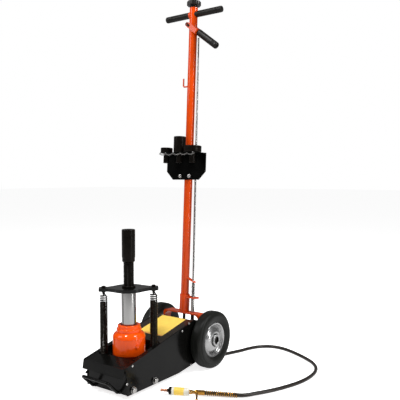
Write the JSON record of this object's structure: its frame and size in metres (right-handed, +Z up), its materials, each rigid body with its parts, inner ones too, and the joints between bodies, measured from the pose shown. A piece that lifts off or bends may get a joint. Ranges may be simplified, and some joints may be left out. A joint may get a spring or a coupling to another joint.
{
  "type": "air hydraulic truck jack",
  "caption": "Wheeled air-over-hydraulic truck jack with a telescoping ram, return springs, a tall locking handle, a tray of adapters and an air hose.",
  "frame": {"origin": "on the floor, under the axis of the ram, at the underside of the base block", "axes": "+Z up along the ram, +X across the wheels (the side of the lock rod), +Y from the front handle back to the wheels"},
  "size_m": [0.6047, 0.7814, 1.3281],
  "materials": {
    "orange_paint": "gloss orange enamel",
    "black_paint": "gloss black enamel",
    "grey_paint": "gloss grey-brown enamel",
    "block_paint": "painted casting",
    "black_oxide": "black oxide with an oil film",
    "spring_steel": "oiled spring wire",
    "chrome": "satin ground chrome",
    "zinc": "bright zinc plate",
    "seal_rubber": "smooth black",
    "tyre_rubber": "matt black",
    "grip_foam": "matt black",
    "knob_plastic": "satin black",
    "brass": "machined",
    "hose_rubber": "satin brown-black",
    "white_bowl": "milky white"
  },
  "bodies": {
    "frame": {"side_plate_right": "black_paint", "side_plate_left": "black_paint", "front_cover": "black_paint", "front_plate": "black_paint", "top_cover": "grey_paint", "rear_crossbar": "black_paint", "detent_quadrant": "black_oxide", "front_handle": "black_paint", "base_block": "block_paint", "base_bolt_right_1": "zinc", "base_bolt_right_2": "zinc", "base_bolt_left_1": "zinc", "base_bolt_left_2": "zinc", "reservoir": "orange_paint", "filler_plug": "seal_rubber", "top_nut": "orange_paint", "pressure_cylinder": "black_oxide", "return_spring_rear": "spring_steel", "return_spring_front": "spring_steel", "air_motor": "block_paint", "stub_axle_right": "zinc", "stub_axle_left": "zinc", "hose_gland": "brass", "air_hose": "hose_rubber", "hose_guard": "brass", "valve_body": "brass", "filter_body": "white_bowl", "inlet_nipple": "black_oxide"},
    "ram_group": {"ram": "chrome", "piston_seal": "seal_rubber", "spring_plate": "black_paint", "ram_collar": "black_oxide", "spring_pin_rear": "black_oxide", "spring_pin_front": "black_oxide"},
    "screw": {"extension_screw": "black_oxide"},
    "adapter": {"extension_adapter": "black_oxide"},
    "handle": {"handle_yoke": "orange_paint", "handle_socket": "orange_paint", "handle_tube": "orange_paint", "t_bar": "orange_paint", "bar_grip_right": "grip_foam", "bar_grip_left": "grip_foam", "tool_tray": "black_paint", "tray_u_bolt": "zinc", "lock_spring": "spring_steel"},
    "lever": {"lock_lever": "orange_paint", "lever_grip": "grip_foam", "lever_pin": "zinc"},
    "lock": {"lock_rod": "zinc"},
    "release": {"release_knob": "knob_plastic", "release_rod": "zinc"},
    "shaft": {"release_shaft": "zinc"},
    "wheel_right": {"tyre_right": "tyre_rubber", "rim_right": "zinc"},
    "wheel_left": {"tyre_left": "tyre_rubber", "rim_left": "zinc"},
    "tray_short": {"tray_adapter_short": "black_oxide"},
    "tray_tall": {"tray_adapter_tall": "black_oxide"},
    "tray_wide": {"tray_adapter_wide": "black_oxide"},
    "valve": {"valve_lever": "brass"}
  },
  "joints": [
    {"name": "ram_lift", "type": "slide", "parent": "frame", "child": "ram_group", "axis": [0, 0, 1], "range_m": [-0.094, 0], "deforming": ["return_spring_rear", "return_spring_front"]},
    {"name": "screw_extend", "type": "slide", "parent": "ram_group", "child": "screw", "axis": [0, 0, 1], "range_m": [-0.074, 0]},
    {"name": "adapter_lift_off", "type": "slide", "parent": "screw", "child": "adapter", "axis": [0, 0, 1], "range_m": [0, 0.045]},
    {"name": "handle_tilt", "type": "hinge", "parent": "frame", "child": "handle", "pos_m": [0, 0.298, 0.1], "axis": [-1, 0, 0], "range_deg": [0, 70]},
    {"name": "lever_squeeze", "type": "hinge", "parent": "handle", "child": "lever", "pos_m": [-0.009, 0.3528, 1.23471], "axis": [0, -0.9985, 0.0553], "range_deg": [0, 23], "stiffness_Nm_per_rad": 2.3, "springref_deg": -17.19},
    {"name": "lock_lift", "type": "slide", "parent": "handle", "child": "lock", "axis": [-0.0121, 0.0553, 0.9984], "range_m": [0, 0.016], "deforming": ["lock_spring"]},
    {"name": "knob_turn", "type": "hinge", "parent": "handle", "child": "release", "pos_m": [0, 0.35717, 1.31358], "axis": [0, 0.0553, 0.9985], "range_deg": [0, 360]},
    {"name": "release_turn", "type": "hinge", "parent": "frame", "child": "shaft", "pos_m": [0, 0.274, 0.093], "axis": [0, 0.9617, 0.2742], "range_deg": [0, 360]},
    {"name": "wheel_right_spin", "type": "hinge", "parent": "frame", "child": "wheel_right", "pos_m": [0.1175, 0.298, 0.1], "axis": [1, 0, 0], "continuous": true},
    {"name": "wheel_left_spin", "type": "hinge", "parent": "frame", "child": "wheel_left", "pos_m": [-0.1175, 0.298, 0.1], "axis": [1, 0, 0], "continuous": true},
    {"name": "tray_short_lift", "type": "slide", "parent": "handle", "child": "tray_short", "axis": [0, 0.0553, 0.9985], "range_m": [0, 0.05]},
    {"name": "tray_tall_lift", "type": "slide", "parent": "handle", "child": "tray_tall", "axis": [0, 0.0553, 0.9985], "range_m": [0, 0.05]},
    {"name": "tray_wide_lift", "type": "slide", "parent": "handle", "child": "tray_wide", "axis": [0, 0.0553, 0.9985], "range_m": [0, 0.05]},
    {"name": "valve_turn", "type": "hinge", "parent": "frame", "child": "valve", "pos_m": [0.23637, 0.05097, 0.0118], "axis": [-0.8701, -0.4923, 0.0246], "range_deg": [0, 90]}
  ],
  "couplings": [
    {"joint": "lock_lift", "follows": "lever_squeeze", "m_per_rad": 0.0395},
    {"joint": "release_turn", "follows": "knob_turn", "ratio": 1}
  ]
}
